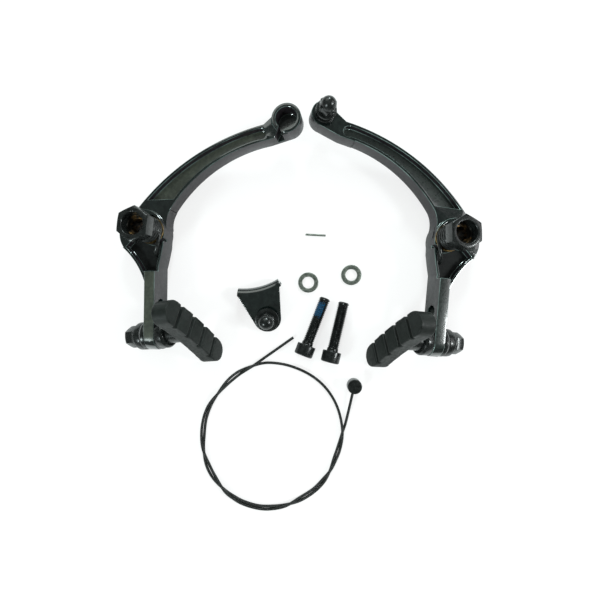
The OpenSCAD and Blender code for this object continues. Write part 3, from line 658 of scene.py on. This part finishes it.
# the CAD nut, its place, its body, the face that it stands on, and each washer with its height and
# radius
anchorStacks = (
    ("right_anchor_nut", inArm("right", anchorAt), "right_anchor", 10.3,
     (("right_anchor_washer", 9.05, 5.2), ("right_clamp_washer", 12.6, 5.2))),
    ("hanger_nut", hangerPlace, "hanger_clamp", 2.0, (("hanger_washer", 4.3, 6.2),)),
)
for nutNode, at, body, face, washers in anchorStacks:
    s = anchorSettings
    base = face + s["gap"] + s["washer"]
    bevelIn, bevelUp = s["bevel"]
    section = [
        (0, 0), (s["flat"] - bevelIn, 0), (s["flat"], bevelUp), (s["flat"], s["hex"] - bevelUp),
        (s["dome"], s["hex"]),
    ] + [(r, z + s["hex"]) for r, z in arcProfile(s["dome"], 8, 90, 12)]
    hexagon = (s["flat"], bevelUp, s["hex"] - bevelUp, s["cornerCut"])
    cap = turned(section, 0.08, 96, [hexagon], joined=False)
    addPiece(nutNode + "_cap", cap, at @ Matrix.Translation((0, 0, base)), body, steel,
             [nutNode])
    for node, z, radius in washers:
        ring = turned(ringSection(s["hole"], radius, s["washer"]), 0.2)
        addPiece(node + "_ring", ring, at @ Matrix.Translation((0, 0, z)), body, steel,
                 [node])
print("stage: anchor nuts")


# Mounting bolts: knurled socket heads and rolled threads. Each entry in places is a point on the
# floor and a heading in degrees.

boltSettings = {
    "head": 5.0, "headHeight": 6.0, "headChamfer": 0.5, "headFoot": 0.25, "teeth": 36,
    "toothDepth": 0.22, "plainRims": (0.8, 0.5),
    "socket": 2.5, "socketDepth": 3.0, "socketCone": 0.5, "socketLip": (0.55, 0.25),
    "shank": 3.0, "length": 27.0, "plain": 1.2, "tipChamfer": 0.6,
    "lockFrom": 22.3, "lockTo": 29.8, "lockSide": 1.2,
    "places": ((2.6, -58.9, -21.5), (16.5, -62.4, -13.9)),
}
threadSettings = {
    "pitch": 1.0, "depth": 0.55, "rowsPerTurn": 7, "root": 1.35, "flank": 3, "runOut": 0.8,
    "lastCut": 0.35,
}


# a groove that climbs one pitch a turn, full between its two ends and shallow at the tip
def cutThread(bm, shank, s, start, end):
    for v in bm.verts:
        radius = v.co.xy.length
        if not (start < v.co.z < end and abs(radius - shank) < 0.01):
            continue
        wave = (v.co.z / s["pitch"] - math.atan2(v.co.y, v.co.x) / (2 * math.pi)) % 1
        cut = s["depth"] * min(max(s["root"] - s["flank"] * abs(wave - 0.5), 0), 1)
        fadeIn = min((v.co.z - start) / s["pitch"], 1)
        fadeOut = min(max((end - v.co.z) / s["runOut"], s["lastCut"]), 1)
        v.co.xy = v.co.xy * (1 - cut * fadeIn * fadeOut / radius)


# teeth round the outside of the head
def knurl(bm, s, low, high):
    for v in bm.verts:
        if low < v.co.z < high and v.co.xy.length > s["head"] - 0.02:
            tooth = 0.5 + 0.5 * math.cos(math.atan2(v.co.y, v.co.x) * s["teeth"])
            v.co.xy = v.co.xy * (1 - s["toothDepth"] * tooth ** 2 / s["head"])


# a bolt rests on its head and its tip, so it droops a little from level
for k, (x, y, heading) in enumerate(boltSettings["places"]):
    s = boltSettings
    droop = math.atan((s["head"] - s["shank"]) / s["length"])
    rise = s["head"] * math.cos(droop) + s["headHeight"] / 2 * math.sin(droop)
    at = place((x, y, rise), ("Z", heading), ("X", -90 - math.degrees(droop)))
    at = at @ Matrix.Translation((0, 0, -s["headHeight"] / 2))
    top = s["headHeight"]
    end = top + s["length"]
    threadEnd = end - s["tipChamfer"]
    lipOut, lipDown = s["socketLip"]
    frontRim, backRim = s["plainRims"]
    rowGap = threadSettings["pitch"] / threadSettings["rowsPerTurn"]
    shank = [(s["shank"], float(z)) for z in np.arange(top + 0.4, threadEnd, rowGap)]
    section = [
        (0, s["socketDepth"] + s["socketCone"]), (s["socket"], s["socketDepth"]),
        (s["socket"], lipDown), (s["socket"] + lipOut, 0), (s["head"] - s["headChamfer"], 0),
        (s["head"], s["headChamfer"]), (s["head"], top - s["headFoot"]),
        (s["head"] - s["headFoot"], top), (s["shank"] + s["headFoot"], top),
    ] + shank + [(s["shank"] - s["tipChamfer"], end), (0, end)]
    keyHole = (s["socket"], lipDown, s["socketDepth"], 0)
    bolt = turned(section, 0.07, 144, [keyHole], joined=False)
    knurl(bolt, s, frontRim, top - backRim)
    cutThread(bolt, s["shank"], threadSettings, top + s["plain"], threadEnd)
    for face in bolt.faces:  # the blue patch on the first bolt, with ragged ends
        centre = face.calc_center_median()
        ragged = 0.5 * math.sin(7 * centre.y) + 0.3 * math.cos(11 * centre.x)
        inPatch = s["lockFrom"] < centre.z - ragged < s["lockTo"] and centre.x < s["lockSide"]
        if k == 0 and inPatch:
            face.material_index = 1
    addPiece("socket_bolt_" + str(k + 1), bolt, at, "root", steel,
             ["mount_bolt_" + str(k + 1)], extra=[threadLock], sharp=35)
print("stage: mounting bolts")


# Small zinc-plated pieces

washerSettings = {"places": ((4.5, -22.5), (27.9, -18.4)), "radius": 5.5, "hole": 3.2, "thick": 1.6}
pinSettings = {"at": (8.5, 3.4, 0.55), "heading": -3, "radius": 0.55, "length": 11}
for k, (x, y) in enumerate(washerSettings["places"]):
    s = washerSettings
    ring = turned(ringSection(s["hole"], s["radius"], s["thick"]), 0.3)
    addPiece("boss_ring_" + str(k + 1), ring, place((x, y, 0)), "root", zinc,
             ["boss_washer_" + str(k + 1)])
s = pinSettings
half = s["length"] / 2
section = [(0, -half), (s["radius"], -half), (s["radius"], half), (0, half)]
addPiece("roll_pin", turned(section, 0.12, 32, joined=False),
         place(s["at"], ("Z", s["heading"]), ("Y", 90)), "root", zinc, ["spring_pin"])


# Of the CAD nodes that stay as they are, the bushings are brass, and the studs and bolts black steel

for node in cadNodes.values():
    node.data.materials.clear()
    node.data.materials.append(brass if node.name.endswith("_bushing") else steel)
print("stage: small pieces")


# Floor, lights and world

def blended(owner, share, first, second):
    made = addNode(owner, "ShaderNodeMixShader")
    link(owner, share, made.inputs["Fac"])
    link(owner, first, made.inputs[1])
    link(owner, second, made.inputs[2])
    return made.outputs["Shader"]


# a pale matte floor, lifted towards white where the camera sees it
floorSettings = {"reach": 3.0, "drop": 0.0002, "glow": 0.72}
floorPaint = newMaterial("floor", (0.9, 0.9, 0.9), 0.8, specular=0.2)
varyColour(floorPaint, objectNoise(floorPaint, 6, 2), (0.885, 0.885, 0.885), (0.91, 0.91, 0.905))
floorRays = addNode(floorPaint, "ShaderNodeLightPath")
floorGlow = addNode(floorPaint, "ShaderNodeMath")
floorGlow.operation = "MULTIPLY"
floorGlow.inputs[1].default_value = floorSettings["glow"]
link(floorPaint, floorRays.outputs["Is Camera Ray"], floorGlow.inputs[0])
floorWhite = addNode(floorPaint, "ShaderNodeEmission")
floorLook = blended(floorPaint, floorGlow.outputs["Value"], shaderOf(floorPaint).outputs["BSDF"],
                    floorWhite.outputs["Emission"])
link(floorPaint, floorLook, floorPaint.node_tree.nodes["Material Output"].inputs["Surface"])
floorBody = bmesh.new()
bmesh.ops.create_grid(floorBody, x_segments=1, y_segments=1, size=floorSettings["reach"])
floorMesh = bpy.data.meshes.new("floor")
floorBody.to_mesh(floorMesh)
floorBody.free()
floorMesh.materials.append(floorPaint)
floor = bpy.data.objects.new("floor", floorMesh)
floor.location.z = -floorSettings["drop"]
bpy.context.collection.objects.link(floor)

lightSettings = {
    "key": {"at": (-0.3, 0.75, 0.65), "size": 0.62, "power": 2.4, "colour": (0.93, 1.0, 0.95)},
    "fill": {"at": (0.8, 0.3, 0.5), "size": 0.4, "power": 1.2, "colour": (1.0, 0.97, 1.0)},
    "edge_back": {"at": (0.1, 0.85, 0.55), "size": 0.18, "power": 5.0, "colour": (0.88, 1.0, 1.0)},
    "edge_right": {"at": (0.8, -0.1, 0.62), "size": 0.18, "power": 5.0, "colour": (0.95, 1.0, 1.0)},
    "edge_left": {"at": (-0.62, -0.55, 0.6), "size": 0.18, "power": 5.0, "colour": (0.88, 1.0, 1.0)},
}
for name, s in lightSettings.items():
    data = bpy.data.lights.new(name, "AREA")
    data.shape = "SQUARE"
    data.size = s["size"]
    data.energy = s["power"]
    data.color = s["colour"]
    lamp = bpy.data.objects.new(name, data)
    lamp.location = s["at"]
    lamp.rotation_euler = (-Vector(s["at"])).to_track_quat("-Z", "Y").to_euler()
    bpy.context.collection.objects.link(lamp)

# what the camera sees, what gloss reflects, and what lights the pieces: colour and strength
worldSettings = {
    "seen": ((1, 1, 1, 1), 1.0), "mirrored": ((0.9, 1.0, 0.95, 1), 0.16),
    "lit": ((0.93, 0.97, 0.96, 1), 0.62),
}
world = bpy.data.worlds.new("studio")
bpy.context.scene.world = world
world.use_nodes = True
world.node_tree.nodes.clear()
skies = {}
for name, (colour, strength) in worldSettings.items():
    sky = addNode(world, "ShaderNodeBackground", Color=colour, Strength=strength)
    skies[name] = sky.outputs["Background"]
worldRays = addNode(world, "ShaderNodeLightPath")
indirect = blended(world, worldRays.outputs["Is Glossy Ray"], skies["lit"], skies["mirrored"])
shown = blended(world, worldRays.outputs["Is Camera Ray"], indirect, skies["seen"])
worldOutput = addNode(world, "ShaderNodeOutputWorld")
link(world, shown, worldOutput.inputs["Surface"])
bpy.context.scene.view_settings.view_transform = "Standard"
print("stage: floor and lights")
